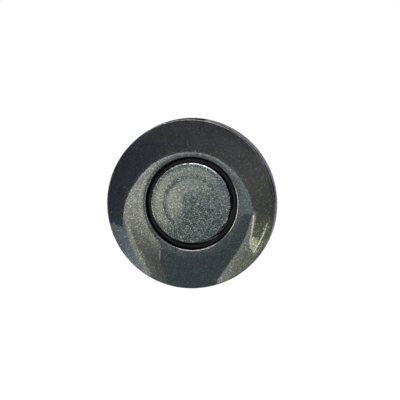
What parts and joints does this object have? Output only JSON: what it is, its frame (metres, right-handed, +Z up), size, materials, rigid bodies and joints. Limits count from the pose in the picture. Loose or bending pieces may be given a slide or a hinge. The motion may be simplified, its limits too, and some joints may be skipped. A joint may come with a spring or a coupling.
{
  "type": "parking sensor",
  "caption": "Round ultrasonic parking sensor: dished painted bezel and membrane in front, sleeve with spring clips and a barrel with a plug socket behind.",
  "frame": {"origin": "on the sensor's axis, in the plane where its gasket lies on the bumper's outer skin", "axes": "-Y is the way the sensor looks out of the bumper, +Y runs back along the barrel to the plug socket, +Z is up, +X is to the right for someone who faces the sensor"},
  "size_m": [0.03, 0.0344, 0.03],
  "materials": {
    "bezel_paint": "dark graphite metallic paint with clear coat on moulded plastic",
    "membrane_paint": "dark graphite metallic paint with clear coat on the front, bare aluminium behind",
    "silicone": "matt black silicone",
    "rubber": "matt black rubber",
    "black_plastic": "black glass-filled plastic, fine moulded grain",
    "natural_plastic": "uncoloured moulded plastic",
    "spring_steel": "rolled stainless spring strip",
    "piezo_ceramic": "silvered ceramic",
    "felt": "grey felt",
    "foam": "silicone foam",
    "red_wire": "red insulation",
    "black_wire": "black insulation",
    "board": "green solder resist",
    "ferrite": "sintered ferrite",
    "copper": "enamelled copper wire",
    "aluminium": "drawn aluminium",
    "chip_black": "moulded epoxy",
    "capacitor_brown": "ceramic with tinned ends",
    "resistor_black": "glazed film with tinned ends",
    "tin": "bright tin plating"
  },
  "bodies": {
    "root": {"bezel_ring": "bezel_paint", "bumper_gasket": "rubber", "membrane_can": "membrane_paint", "decoupling_ring": "silicone", "piezo_disc": "piezo_ceramic", "damping_felt": "felt", "can_filler": "foam", "lead_signal": "red_wire", "lead_ground": "black_wire", "spring_clip_left": "spring_steel", "spring_clip_right": "spring_steel", "sensor_housing": "black_plastic", "carrier_ring": "natural_plastic", "circuit_board": "board", "transformer_core": "ferrite", "transformer_winding": "copper", "filter_capacitor": "aluminium", "control_chip": "chip_black", "capacitor_1": "capacitor_brown", "capacitor_2": "capacitor_brown", "capacitor_3": "capacitor_brown", "resistor_1": "resistor_black", "resistor_2": "resistor_black", "resistor_3": "resistor_black", "rear_cover": "black_plastic", "cover_seal": "rubber", "contact_pin_1": "tin", "contact_pin_2": "tin", "contact_pin_3": "tin"}
  },
  "joints": []
}
